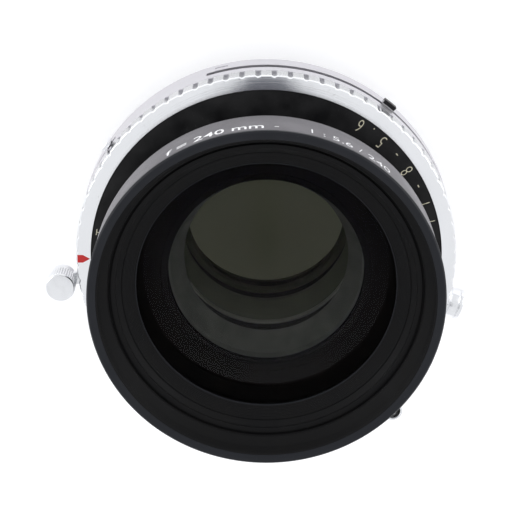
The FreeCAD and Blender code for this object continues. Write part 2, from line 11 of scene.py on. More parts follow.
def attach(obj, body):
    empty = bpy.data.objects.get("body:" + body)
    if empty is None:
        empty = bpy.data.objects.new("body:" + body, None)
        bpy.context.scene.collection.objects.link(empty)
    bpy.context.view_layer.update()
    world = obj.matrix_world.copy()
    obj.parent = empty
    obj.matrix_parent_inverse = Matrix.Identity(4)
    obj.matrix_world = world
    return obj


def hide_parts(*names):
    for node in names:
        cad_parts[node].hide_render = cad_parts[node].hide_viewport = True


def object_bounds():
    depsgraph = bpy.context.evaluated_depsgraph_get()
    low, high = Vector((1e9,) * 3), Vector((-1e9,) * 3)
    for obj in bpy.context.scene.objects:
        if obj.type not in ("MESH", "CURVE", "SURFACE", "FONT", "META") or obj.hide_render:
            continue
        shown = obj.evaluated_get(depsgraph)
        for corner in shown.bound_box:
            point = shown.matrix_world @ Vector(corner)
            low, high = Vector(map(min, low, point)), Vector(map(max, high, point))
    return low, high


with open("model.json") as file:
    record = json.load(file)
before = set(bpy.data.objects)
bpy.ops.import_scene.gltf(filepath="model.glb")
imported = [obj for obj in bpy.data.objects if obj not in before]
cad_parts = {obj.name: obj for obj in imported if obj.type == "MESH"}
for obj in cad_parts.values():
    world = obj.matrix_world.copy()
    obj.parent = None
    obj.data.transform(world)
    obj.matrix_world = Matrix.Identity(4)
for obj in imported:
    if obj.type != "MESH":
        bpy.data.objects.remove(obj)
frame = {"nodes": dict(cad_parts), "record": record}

bl_info = {
    "name": "View-camera lens in a leaf shutter",
    "version": (1, 0, 0),
    "blender": (4, 5, 0),
    "location": "View3D > Sidebar > Lens",
    "description": "Builds the finished surfaces of a large-format lens around its packed frame",
    "category": "Add Mesh",
}

CAD_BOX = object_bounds()
MM = 0.001
HELD = "shutter_body"
FULL_TURN = 2 * math.pi

# places that part.py gives these pieces: radii and heights in mm, rows in degrees around the axis
POINTER_ROW = 88.0
COCKING_ROW, KNOB_PLACE_R = 96.8, 56.4
SYNC_ROW, SYNC_Z = -110.0, 8.5
CABLE_ROW, CABLE_PLACE_R = -146.0, 60.6
FACE_TOP = 17.8
BAND_R = 45.3
RING_TOP = 18.0

# the studio: the camera's aim, the soft lights' places and the dark slit of the light tent
AIM_RIGHT, AIM_UP, AIM_HEIGHT = -1.13, -0.86, 18.0
LAMP_ACROSS, LAMP_HIGH, LAMP_OUT, LAMP_SIZE, LAMP_POWER = 620, 120, 300, 420, 1.6
SLIT_HALF_WIDTH, SLIT_SIDE_FADE = 0.07, 0.02
SLIT_MIDDLE, SLIT_HALF_LENGTH, SLIT_END_FADE = 0.1, 0.27, 0.1
FLOOR_HALF_SIZE = 3.0
# the painted shade on the floor under the lens: its radius and its fade, in metres
SHADE_R, SHADE_FADE = 0.031, 0.02


# ------------------------------------------------------------------ sizes and colours
class LensSizes(bpy.types.PropertyGroup):
    """Sizes of the finish that the frame leaves open, in millimetres or degrees."""
    edge: FloatProperty(name="Edge break", description="Radius of a turned edge, in mm", default=0.14)
    segments: IntProperty(name="Segments", description="Steps around a turned piece", default=288)
    notches: IntProperty(name="Notches", description="Scallops around the speed ring", default=76)
    notch_depth: FloatProperty(name="Notch depth", description="Depth of a scallop, in mm", default=0.32)
    knurl: IntProperty(name="Knob ribs", description="Ribs around the cocking knob", default=34)
    dial_height: FloatProperty(
        name="Dial height", description="Height of the dial's figures, in mm", default=3.7)
    band_height: FloatProperty(
        name="Band height", description="Height of the band's figures, in mm", default=3.3)
    paint: FloatProperty(name="Paint", description="How far lettering stands out, in mm", default=0.02)
    view_distance: FloatProperty(
        name="View distance", description="Camera to the dial plate, in mm", default=500.0)
    view_tilt: FloatProperty(
        name="View tilt", description="Camera above the optical axis, in degrees", default=21.79)
    view_turn: FloatProperty(
        name="View turn", description="Row angle of the picture's right, in degrees", default=-92.0)
    focal: FloatProperty(name="Focal length", description="Camera focal length, in mm", default=127.9)


class LensColours(bpy.types.PropertyGroup):
    """Base colours of the finishes, linear."""
    chrome: FloatVectorProperty(
        name="Chrome", description="Satin chrome plate", subtype="COLOR", default=(0.84, 0.848, 0.865))
    case: FloatVectorProperty(
        name="Case", description="Satin silver of the shutter case",
        subtype="COLOR", default=(0.29, 0.281, 0.30))
    band: FloatVectorProperty(
        name="Band", description="Grey of the lettered band", subtype="COLOR", default=(0.155, 0.148, 0.16))
    black: FloatVectorProperty(
        name="Black", description="Anodised black of the cells",
        subtype="COLOR", default=(0.0130, 0.0142, 0.0178))
    dial: FloatVectorProperty(
        name="Dial", description="Black enamel of the dial plate",
        subtype="COLOR", default=(0.0060, 0.0060, 0.0066))
    cream: FloatVectorProperty(
        name="Cream", description="Paint in the dial's figures",
        subtype="COLOR", default=(0.72, 0.68, 0.52))
    white: FloatVectorProperty(
        name="White", description="Paint in the band's figures",
        subtype="COLOR", default=(0.85, 0.85, 0.86))
    red: FloatVectorProperty(
        name="Red", description="Enamel of the speed index", subtype="COLOR", default=(0.20, 0.009, 0.014))
    glass: FloatVectorProperty(
        name="Glass", description="Tint of the optical glass",
        subtype="COLOR", default=(0.965, 0.975, 0.93))


def sizes():
    """The scene's size settings."""
    return bpy.context.scene.lens_sizes


def colours():
    """The scene's colour settings."""
    return bpy.context.scene.lens_colours


# ------------------------------------------------------------------ shader expressions
class Value:
    """A number on a node socket; Python arithmetic on it adds Math nodes."""

    def __init__(self, paint, socket):
        self.paint = paint
        self.socket = socket

    def _math(self, operation, *terms):
        values = {i: term for i, term in enumerate(terms)}
        return self.paint.value("ShaderNodeMath", {"operation": operation}, values)

    def __add__(self, other):
        return self._math("ADD", self, other)

    __radd__ = __add__

    def __sub__(self, other):
        return self._math("SUBTRACT", self, other)

    def __rsub__(self, other):
        return self._math("SUBTRACT", other, self)

    def __mul__(self, other):
        return self._math("MULTIPLY", self, other)

    __rmul__ = __mul__

    def __truediv__(self, other):
        return self._math("DIVIDE", self, other)

    def __rtruediv__(self, other):
        return self._math("DIVIDE", other, self)

    def __pow__(self, other):
        return self._math("POWER", self, other)

    def __rpow__(self, other):
        return self._math("POWER", other, self)

    def size(self):
        """The value without its sign."""
        return self._math("ABSOLUTE", self)

    def clamped(self):
        """The value kept between 0 and 1."""
        return self._math("MAXIMUM", self._math("MINIMUM", self, 1.0), 0.0)


class Nodes:
    """A node tree under construction, with short names for what shaders read."""

    def __init__(self, tree):
        self.tree = tree

    def node(self, kind, settings=None, inputs=None):
        """Any node: its settings first, then the values or links of its sockets."""
        made = self.tree.nodes.new(kind)
        for key, value in (settings or {}).items():
            setattr(made, key, value)
        for key, value in (inputs or {}).items():
            socket = made.inputs[key]
            if isinstance(value, Value):
                self.tree.links.new(value.socket, socket)
            elif isinstance(value, bpy.types.NodeSocket):
                self.tree.links.new(value, socket)
            else:
                socket.default_value = value
        return made

    def value(self, kind, settings=None, inputs=None, output=0):
        """Any node's number output, ready for arithmetic."""
        return Value(self, self.node(kind, settings, inputs).outputs[output])

    def vector(self, operation, *terms):
        """A Vector Math node's vector."""
        inputs = {i: term for i, term in enumerate(terms)}
        return self.node("ShaderNodeVectorMath", {"operation": operation}, inputs).outputs[0]

    def place(self):
        """Object coordinates, which are the frame's own metres."""
        return self.node("ShaderNodeTexCoord").outputs["Object"]

    def noise(self, scale, detail=3.0, rough=0.5, low=0.35, high=0.65):
        """Soft noise over the surface, stretched so that low to high becomes 0 to 1."""
        raw = self.value("ShaderNodeTexNoise", {"noise_dimensions": "3D"},
                         {"Vector": self.place(), "Scale": scale, "Detail": detail, "Roughness": rough})
        return ((raw - low) / (high - low)).clamped()

    def mix(self, share, first, second):
        """A colour between two, by a share from 0 to 1."""
        ends = [end if isinstance(end, bpy.types.NodeSocket) else (*end, 1.0) for end in (first, second)]
        inputs = {0: share, 6: ends[0], 7: ends[1]}
        return self.node("ShaderNodeMix", {"data_type": "RGBA"}, inputs).outputs[2]

    def turned(self, strength, pitch, outward=0.0):
        """The fine grooves of a lathe: the normal leans along the profile, up or down by a noise of the
        distance along it, and never around the axis. pitch is the grooves' width in metres; outward adds a
        steady lean away from the axis on a flat face."""
        parts = self.node("ShaderNodeSeparateXYZ", inputs={0: self.place()})
        x, y, z = (Value(self, parts.outputs[i]) for i in range(3))
        radius = (x * x + y * y) ** 0.5
        around = self.node("ShaderNodeCombineXYZ", inputs={0: y * -1.0, 1: x, 2: 0.0}).outputs[0]
        around = self.vector("NORMALIZE", around)
        normal = self.node("ShaderNodeNewGeometry").outputs["Normal"]
        along = self.vector("CROSS_PRODUCT", normal, around)
        groove = self.value("ShaderNodeTexNoise", {"noise_dimensions": "1D"},
                            {"W": (radius - z) / pitch, "Scale": 1.0, "Detail": 2.0})
        lean = (groove - 0.5) * strength - outward
        scaled = self.node("ShaderNodeVectorMath", {"operation": "SCALE"}, {0: along, 3: lean})
        leaned = self.vector("ADD", normal, scaled.outputs[0])
        return self.vector("NORMALIZE", leaned)

    def grain(self, scale, height, normal=None):
        """A fine even grain as a Bump node's normal."""
        rough = self.noise(scale, detail=2.0, low=0.3, high=0.7)
        inputs = {"Height": rough, "Strength": 0.6, "Distance": height}
        if normal is not None:
            inputs["Normal"] = normal
        return self.node("ShaderNodeBump", inputs=inputs).outputs[0]


class Paint(Nodes):
    """A material under construction around its one shader."""

    def __init__(self, name, **constants):
        self.material = bpy.data.materials.new(name)
        self.material.use_nodes = True
        super().__init__(self.material.node_tree)
        self.shader = self.tree.nodes["Principled BSDF"]
        for socket, value in constants.items():
            self.set(socket.replace("_", " "), value)

    def set(self, socket, value):
        """A constant straight on the shader's own socket."""
        target = self.shader.inputs[socket]
        if target.type == "RGBA" and len(value) == 3:
            value = (*value, 1.0)
        target.default_value = value

    def feed(self, socket, source):
        """A varying value or colour into the shader."""
        link = source.socket if isinstance(source, Value) else source
        self.tree.links.new(link, self.shader.inputs[socket])


def satin_chrome():
    """Satin chrome plate, turned, with faint clouding and small rubbed marks."""
    paint = Paint("satin_chrome", Metallic=1.0)
    cloud = paint.noise(90.0)
    marks = paint.noise(900.0, detail=6.0, rough=0.7, low=0.62, high=0.72)
    base = colours().chrome
    worn = tuple(0.80 * c for c in base)
    paint.feed("Base Color", paint.mix(marks * 0.5 + cloud * 0.12, base, worn))
    paint.feed("Roughness", 0.10 + cloud * 0.05 + marks * 0.15)
    paint.feed("Normal", paint.turned(0.7, 0.00007, outward=0.26))
    return paint.material


def bright_chrome():
    """Bright chrome on small fittings."""
    paint = Paint("bright_chrome", Metallic=1.0)
    cloud = paint.noise(260.0)
    base = colours().chrome
    paint.feed("Base Color", paint.mix(cloud * 0.4, base, tuple(0.86 * c for c in base)))
    paint.feed("Roughness", 0.16 + cloud * 0.08)
    paint.feed("Normal", paint.grain(2600.0, 0.000003))
    return paint.material


def case_silver():
    """Satin silver of the case wall: a metallic lacquer with a fine even grain."""
    paint = Paint("case_silver", Metallic=0.8)
    cloud = paint.noise(70.0)
    base = colours().case
    paint.feed("Base Color", paint.mix(cloud * 0.5, base, tuple(0.90 * c for c in base)))
    paint.feed("Roughness", 0.36 + cloud * 0.10)
    paint.feed("Normal", paint.grain(5200.0, 0.00003, paint.turned(0.10, 0.00012)))
    return paint.material


def band_grey():
    """Satin grey anodising of the lettered band."""
    paint = Paint("band_grey", Metallic=0.75)
    cloud = paint.noise(110.0)
    base = colours().band
    paint.feed("Base Color", paint.mix(cloud * 0.5, base, tuple(0.88 * c for c in base)))
    paint.feed("Roughness", 0.40 + cloud * 0.08)
    paint.feed("Normal", paint.grain(6500.0, 0.00002, paint.turned(0.16, 0.0001)))
    return paint.material


def anodised_black():
    """Satin black anodising with turning lines and faint dust."""
    paint = Paint("anodised_black", Specular_IOR_Level=0.17)
    cloud = paint.noise(120.0)
    dust = paint.noise(2600.0, detail=1.0, low=0.76, high=0.79)
    base = colours().black
    tone = paint.mix(cloud * 0.6, base, tuple(0.75 * c for c in base))
    paint.feed("Base Color", paint.mix(dust * 0.2, tone, (0.16, 0.16, 0.17)))
    paint.feed("Roughness", 0.40 + cloud * 0.08 + dust * 0.2)
    paint.feed("Normal", paint.turned(0.4, 0.00016, outward=0.05))
    return paint.material


def bore_black():
    """Matt black anodising inside the bezel."""
    paint = Paint("bore_black", Specular_IOR_Level=0.10)
    cloud = paint.noise(160.0)
    paint.feed("Base Color", paint.mix(cloud, (0.0055, 0.0055, 0.0060), (0.0075, 0.0073, 0.0075)))
    paint.feed("Roughness", 0.5 + cloud * 0.12)
    paint.feed("Normal", paint.turned(0.25, 0.00016))
    return paint.material


def baffle_black():
    """Deep matt black inside the cells."""
    paint = Paint("baffle_black", Specular_IOR_Level=0.06)
    cloud = paint.noise(200.0)
    paint.feed("Base Color", paint.mix(cloud, (0.005, 0.0045, 0.005), (0.008, 0.007, 0.007)))
    paint.feed("Roughness", 0.75 + cloud * 0.2)
    paint.feed("Normal", paint.turned(0.06, 0.0006))
    return paint.material


def baffle_grey():
    """Worn grey anodising of the baffle cone."""
    paint = Paint("baffle_grey", Metallic=0.3)
    cloud = paint.noise(240.0)
    paint.feed("Base Color", paint.mix(cloud, (0.17, 0.17, 0.18), (0.23, 0.23, 0.24)))
    paint.feed("Roughness", 0.45 + cloud * 0.15)
    paint.feed("Normal", paint.turned(0.2, 0.0002))
    return paint.material


def baffle_olive():
    """Dull olive-black of the rear cell's bore."""
    paint = Paint("baffle_olive", Specular_IOR_Level=0.15)
    cloud = paint.noise(180.0)
    paint.feed("Base Color", paint.mix(cloud, (0.130, 0.138, 0.108), (0.155, 0.163, 0.130)))
    paint.feed("Roughness", 0.6 + cloud * 0.2)
    paint.feed("Normal", paint.turned(0.2, 0.0003))
    return paint.material


def dial_enamel():
    """Black enamel of the dial plate, with the faint orange peel of sprayed lacquer."""
    paint = Paint("dial_enamel", Specular_IOR_Level=0.16)
    cloud = paint.noise(150.0)
    dust = paint.noise(3000.0, detail=1.0, low=0.75, high=0.79)
    paint.feed("Base Color", paint.mix(dust * 0.2 + cloud * 0.05, colours().dial, (0.2, 0.2, 0.2)))
    paint.feed("Roughness", 0.34 + cloud * 0.08 + dust * 0.2)
    paint.feed("Normal", paint.grain(1800.0, 0.000008))
    return paint.material


def lettering_paint(name, colour):
    """Paint rubbed into engraved figures, a little thin in places."""
    paint = Paint(name, Specular_IOR_Level=0.3)
    thin = paint.noise(1500.0, detail=4.0, low=0.55, high=0.75)
    paint.feed("Base Color", paint.mix(thin * 0.35, colour, tuple(0.55 * c for c in colour)))
    paint.feed("Roughness", 0.5 + thin * 0.2)
    return paint.material


def red_enamel():
    """Gloss red enamel of the speed index."""
    paint = Paint("red_enamel", Coat_Weight=0.4, Coat_Roughness=0.08)
    cloud = paint.noise(900.0)
    base = colours().red
    paint.feed("Base Color", paint.mix(cloud * 0.5, base, tuple(0.7 * c for c in base)))
    paint.feed("Roughness", 0.3 + cloud * 0.1)
    paint.feed("Normal", paint.grain(1500.0, 0.00001))
    return paint.material


def turned_steel():
    """Bare machined steel with its turning lines."""
    paint = Paint("turned_steel", Metallic=1.0)
    cloud = paint.noise(160.0)
    paint.feed("Base Color", paint.mix(cloud, (0.50, 0.50, 0.50), (0.40, 0.40, 0.41)))
    paint.feed("Roughness", 0.28 + cloud * 0.12)
    paint.feed("Normal", paint.turned(0.25, 0.0001))
    return paint.material


def blued_spring():
    """Blued spring steel."""
    paint = Paint("blued_spring", Metallic=1.0)
    cloud = paint.noise(400.0)
    paint.feed("Base Color", paint.mix(cloud, (0.08, 0.11, 0.22), (0.16, 0.13, 0.20)))
    paint.feed("Roughness", 0.25 + cloud * 0.15)
    return paint.material


def clock_brass():
    """Polished clockwork brass."""
    paint = Paint("clock_brass", Metallic=1.0)
    cloud = paint.noise(500.0)
    paint.feed("Base Color", paint.mix(cloud, (0.72, 0.52, 0.22), (0.60, 0.42, 0.18)))
    paint.feed("Roughness", 0.2 + cloud * 0.15)
    paint.feed("Normal", paint.grain(3000.0, 0.00001))
    return paint.material


def blade_black():
    """Blackened spring steel of the blades, faintly streaked."""
    paint = Paint("blade_black", Metallic=0.6)
    cloud = paint.noise(300.0, detail=5.0)
    paint.feed("Base Color", paint.mix(cloud, (0.035, 0.035, 0.038), (0.060, 0.058, 0.056)))
    paint.feed("Roughness", 0.38 + cloud * 0.14)
    return paint.material


def insulator_black():
    """Black moulded insulator."""
    paint = Paint("insulator_black")
    cloud = paint.noise(600.0)
    paint.feed("Base Color", paint.mix(cloud, (0.02, 0.02, 0.02), (0.035, 0.034, 0.033)))
    paint.feed("Roughness", 0.5 + cloud * 0.2)
    return paint.material


def coated_glass(name, tint):
    """Optical glass, faintly clouded, with a coating that leaves only a dim tinted reflection."""
    paint = Paint(name, Transmission_Weight=1.0, IOR=1.50, Roughness=0.0)
    paint.set("Specular Tint", tint)
    cloud = paint.noise(60.0)
    base = colours().glass
    paint.feed("Base Color", paint.mix(cloud * 0.5, base, tuple(0.985 * c for c in base)))
    return paint.material


def pale_floor():
    """Plain pale floor of the studio, with a light of its own, and painted shade under the lens, where that
    light is dim and olive.
    """
    paint = Paint("pale_floor", Emission_Strength=0.25, Roughness=0.85, Base_Color=(0.90, 0.90, 0.905))
    parts = paint.node("ShaderNodeSeparateXYZ", inputs={0: paint.place()})
    x, y = (Value(paint, parts.outputs[i]) for i in range(2))
    outside_painted_shade = (((x * x + y * y) ** 0.5 - SHADE_R) / SHADE_FADE).clamped()
    # painted shade: inside SHADE_R under the lens the floor's glow goes dim and olive
    paint.feed("Emission Color", paint.mix(outside_painted_shade, (0.135, 0.137, 0.118), (1.0, 1.0, 1.0)))
    return paint.material


FINISHES = {
    "satin_chrome": satin_chrome,
    "bright_chrome": bright_chrome,
    "case_silver": case_silver,
    "band_grey": band_grey,
    "anodised_black": anodised_black,
    "bore_black": bore_black,
    "baffle_black": baffle_black,
    "baffle_grey": baffle_grey,
    "baffle_olive": baffle_olive,
    "dial_enamel": dial_enamel,
    "cream_paint": lambda: lettering_paint("cream_paint", colours().cream),
    "white_paint": lambda: lettering_paint("white_paint", colours().white),
    "red_enamel": red_enamel,
    "turned_steel": turned_steel,
    "blued_spring": blued_spring,
    "clock_brass": clock_brass,
    "blade_black": blade_black,
    "insulator_black": insulator_black,
    "front_coating": lambda: coated_glass("front_coating", (0.012, 0.012, 0.024, 1.0)),
    "inner_coating": lambda: coated_glass("inner_coating", (0.02, 0.012, 0.012, 1.0)),
    "rear_coating": lambda: coated_glass("rear_coating", (0.014, 0.022, 0.012, 1.0)),
    "pale_floor": pale_floor,
}


def finish(name):
    """The finish of that name, made once."""
    return bpy.data.materials.get(name) or FINISHES[name]()


# ------------------------------------------------------------------ surfaces
def piece(name, points, faces, look, body, slot, stands_for=(), sharp=38.0):
    """A finished piece from its points in millimetres and its faces."""
    mesh = bpy.data.meshes.new(name)
    mesh.from_pydata((np.asarray(points, float) * MM).tolist(), [], faces)
    mesh.update()
    made = bpy.data.objects.new(name, mesh)
    bpy.context.scene.collection.objects.link(made)
    return finished(made, look, body, slot, stands_for, sharp)


def finished(made, look, body, slot, stands_for=(), sharp=38.0):
    """Smooth shading up to a sharp angle, the material, the body it rides on and the nodes it stands for."""
    made.data.shade_smooth()
    made.data.set_sharp_from_angle(angle=math.radians(sharp))
    made.data.materials.clear()
    made.data.materials.append(finish(look))
    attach(made, body)
    if stands_for:
        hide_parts(*stands_for)
    return made


def outline(corners, edge=None, steps=4):
    """A closed outline whose corners are rounded: at each corner, points of the circle that touches both
    sides, whose radius is the corner's third number or the usual edge, but never over 0.45 of a side."""
    usual = sizes().edge if edge is None else edge
    count = len(corners)
    found = []
    for i, corner in enumerate(corners):
        here = np.array(corner[:2], float)
        before = np.array(corners[i - 1][:2], float) - here
        after = np.array(corners[(i + 1) % count][:2], float) - here
        sides = np.linalg.norm(before), np.linalg.norm(after)
        radius = corner[2] if len(corner) > 2 else usual
        before, after = before / sides[0], after / sides[1]
        half = math.acos(np.clip(before @ after, -1, 1)) / 2
        if radius <= 0 or half > math.radians(85) or here[0] == 0:
            found.append(here[None])
            continue
        reach = min(radius / math.tan(half), 0.45 * min(sides))
        radius = reach * math.tan(half)
        middle = here + (before + after) / np.linalg.norm(before + after) * radius / math.sin(half)
        first, last = here + before * reach - middle, here + after * reach - middle
        turn = math.atan2(first[0] * last[1] - first[1] * last[0], first @ last)
        angles = np.linspace(0, turn, steps)
        cos, sin = np.cos(angles), np.sin(angles)
        found.append(middle + np.stack([first[0] * cos - first[1] * sin, first[0] * sin + first[1] * cos], 1))
    return np.concatenate(found)


def grid_faces(around, along, closed):
    """Quads of a grid that closes around; closed says that it closes along too."""
    i, j = np.meshgrid(np.arange(around), np.arange(along if closed else along - 1), indexing="ij")
    i2, j2 = (i + 1) % around, (j + 1) % along
    quads = np.stack([i * along + j, i2 * along + j, i2 * along + j2, i * along + j2], -1)
    return quads.reshape(-1, 4).tolist()


def revolved(profile, around, swell=None):
    """Points of a surface of revolution about Z: (r cos a, r sin a, z), with r and z from the profile and a
    even around; swell(a, r, z) adds to r."""
    angle = np.arange(around)[:, None] * FULL_TURN / around
    radius = np.broadcast_to(profile[:, 0], (around, len(profile)))
    height = np.broadcast_to(profile[:, 1], radius.shape)
    if swell is not None:
        radius = radius + swell(angle, radius, height)
    points = np.stack([radius * np.cos(angle), radius * np.sin(angle), height], -1)
    return points.reshape(-1, 3)


def anticlockwise(profile):
    """The outline turned round if need be, so that its area is positive with r to the right and z up."""
    r, z = profile[:, 0], profile[:, 1]
    area = np.sum(r * np.roll(z, -1) - np.roll(r, -1) * z)
    return profile if area > 0 else profile[::-1]


def turned_piece(name, corners, look, slot, stands_for=(), body=HELD, edge=None, segments=None, swell=None,
                 move=None):
    """A turned ring: an outline with rounded corners carried around Z, then moved if need be."""
    profile = anticlockwise(outline(corners, edge))
    around = segments or sizes().segments
    points, faces = revolved(profile, around, swell), grid_faces(around, len(profile), True)
    if move is not None:
        points = move(points)
    return piece(name, points, faces, look, body, slot, stands_for)


def cap_surface(bend, vertex, rim, count):
    """Points (r, z) of a spherical face from its middle to its rim: z = vertex - sag(r)."""
    r = np.linspace(0, rim, count)
    sag = np.copysign(abs(bend) - np.sqrt(bend * bend - r * r), bend)
    return np.stack([r, vertex - sag], 1)


def glass_profile(front, front_bend, rear, rear_bend, radius, front_clear, rear_clear):
    """An element's half section from the front vertex to the rear vertex."""
    face = cap_surface(front_bend, front, front_clear, 26)
    back = cap_surface(rear_bend, rear, rear_clear, 26)[::-1]
    rims = [[radius - 0.15, face[-1, 1]], [radius, face[-1, 1] - 0.15], [radius, back[0, 1] + 0.15],
            [radius - 0.15, back[0, 1]]]
    return np.concatenate([face, rims, back])


def turned_solid(profile, around, swell=None):
    """A surface of revolution whose profile starts and ends on the axis: rings of points between two pole
    points, with triangles at the poles."""
    middle = profile[1:-1]
    points = revolved(middle, around, swell)
    poles = [[0, 0, profile[0, 1]], [0, 0, profile[-1, 1]]]
    faces = grid_faces(around, len(middle), False)
    here = np.arange(around) * len(middle)
    ahead = np.roll(here, -1)
    first, last = len(points), len(points) + 1
    faces += np.stack([ahead, here, np.full(around, first)], 1).tolist()
    end = len(middle) - 1
    faces += np.stack([here + end, ahead + end, np.full(around, last)], 1).tolist()
    upright = profile[0, 1] < profile[-1, 1]
    if not upright:
        faces = [face[::-1] for face in faces]
    return np.concatenate([points, poles]), faces


def about(radius, row):
    """A mover that carries a piece from the Z axis to a place at this radius and row angle."""
    angle = math.radians(row)
    offset = np.array([radius * math.cos(angle), radius * math.sin(angle), 0.0])
    return lambda points: points + offset


def radial(row, height):
    """A mover that lays the Z axis outwards along a row angle, at this height."""
    angle = math.radians(row)
    out = np.array([math.cos(angle), math.sin(angle), 0.0])
    side = np.array([-math.sin(angle), math.cos(angle), 0.0])
    frame_axes = np.stack([np.array([0.0, 0.0, 1.0]), side * -1.0, out])
    return lambda points: points @ frame_axes + np.array([0.0, 0.0, height])


def polished_copy(node, look, body, slot, bevel):
    """A merged copy of a frame node with its edges broken by a Bevel modifier of that width in mm."""
    mesh = frame["nodes"][node].data.copy()
    made = bpy.data.objects.new(node + "_finish", mesh)
    bpy.context.scene.collection.objects.link(made)
    work = bmesh.new()
    work.from_mesh(mesh)
    bmesh.ops.remove_doubles(work, verts=work.verts, dist=0.000002)
    bmesh.ops.dissolve_limit(work, angle_limit=math.radians(1.0), verts=work.verts, edges=work.edges)
    work.to_mesh(mesh)
    work.free()
    broken = made.modifiers.new("broken_edges", "BEVEL")
    broken.width = bevel * MM
    broken.segments = 2
    broken.limit_method = "ANGLE"
    broken.angle_limit = math.radians(40)
    broken.use_clamp_overlap = True
    return finished(made, look, body, slot, (node,))


# ------------------------------------------------------------------ lettering
def letter_points(text, height, condense, thin):
    """A text's mesh, centred on its width, its foot on y = 0, in millimetres of cap height; thin takes that
    much of the letter's size off its strokes."""
    curve = bpy.data.curves.new("letter", "FONT")
    curve.body = text
    curve.align_x = "CENTER"
    curve.size = 1.0
    curve.resolution_u = 3
    curve.offset = -thin
    made = bpy.data.objects.new("letter", curve)
    bpy.context.scene.collection.objects.link(made)
    bpy.context.view_layer.update()
    flat = bpy.data.meshes.new_from_object(made.evaluated_get(bpy.context.evaluated_depsgraph_get()))
    work = bmesh.new()
    work.from_mesh(flat)
    bmesh.ops.remove_doubles(work, verts=work.verts, dist=1e-5)
    bmesh.ops.dissolve_limit(work, angle_limit=0.01, verts=work.verts, edges=work.edges)
    bmesh.ops.triangulate(work, faces=work.faces)
    points = np.array([v.co[:] for v in work.verts])
    faces = [[v.index for v in f.verts] for f in work.faces]
    edges = [edge for edge in work.edges if edge.is_boundary]
    rims = [(e.verts[0].index, e.verts[1].index, e.link_loops[0].vert.index) for e in edges]
    work.free()
    bpy.data.objects.remove(made)
    bpy.data.curves.remove(curve)
    bpy.data.meshes.remove(flat)
    cap = 0.69
    points[:, 0] *= height / cap * condense
    points[:, 1] *= height / cap
    return points, faces, rims


def letter_block(points, faces, rims, depth):
    """The flat letter given a thickness along z: its face, its back and the walls between them."""
    count = len(points)
    front, back = points.copy(), points.copy()
    front[:, 2] = depth
    back[:, 2] = -depth
    solid = [list(face) for face in faces]
    solid += [[i + count for i in reversed(face)] for face in faces]
    for a, b, start in rims:
        first, second = (a, b) if start == a else (b, a)
        solid.append([second, first, first + count, second + count])
    return np.concatenate([front, back]), solid


def lettering(name, words, wrap, look, slot, body, height, condense=0.8, thin=0.02):
    """Several texts, each at its own row angle, joined in one piece; wrap(points, row) bends one onto its
    surface."""
    all_points, all_faces, used = [], [], 0
    for text, row in words:
        points, faces = letter_block(*letter_points(text, height, condense, thin), sizes().paint)
        all_points.append(wrap(points, row))
        all_faces += [[i + used for i in face] for face in faces]
        used += len(points)
    return piece(name, np.concatenate(all_points), all_faces, look, body, slot)


def on_dial(radius, height, inward):
    """Bends a letter onto the flat dial: its foot on a circle, its top outwards or inwards."""
    def wrap(points, row):
        sign = -1.0 if inward else 1.0
        r = radius + sign * points[:, 1]
        angle = math.radians(row) - sign * points[:, 0] / radius
        return np.stack([r * np.cos(angle), r * np.sin(angle), height + points[:, 2]], 1)
    return wrap


def on_band(radius, foot):
    """Bends a letter onto the band: its foot nearest the front rim and its top to the rear."""
    def wrap(points, row):
        angle = math.radians(row) - points[:, 0] / radius
        r = radius + points[:, 2]
        return np.stack([r * np.cos(angle), r * np.sin(angle), foot - points[:, 1]], 1)
    return wrap


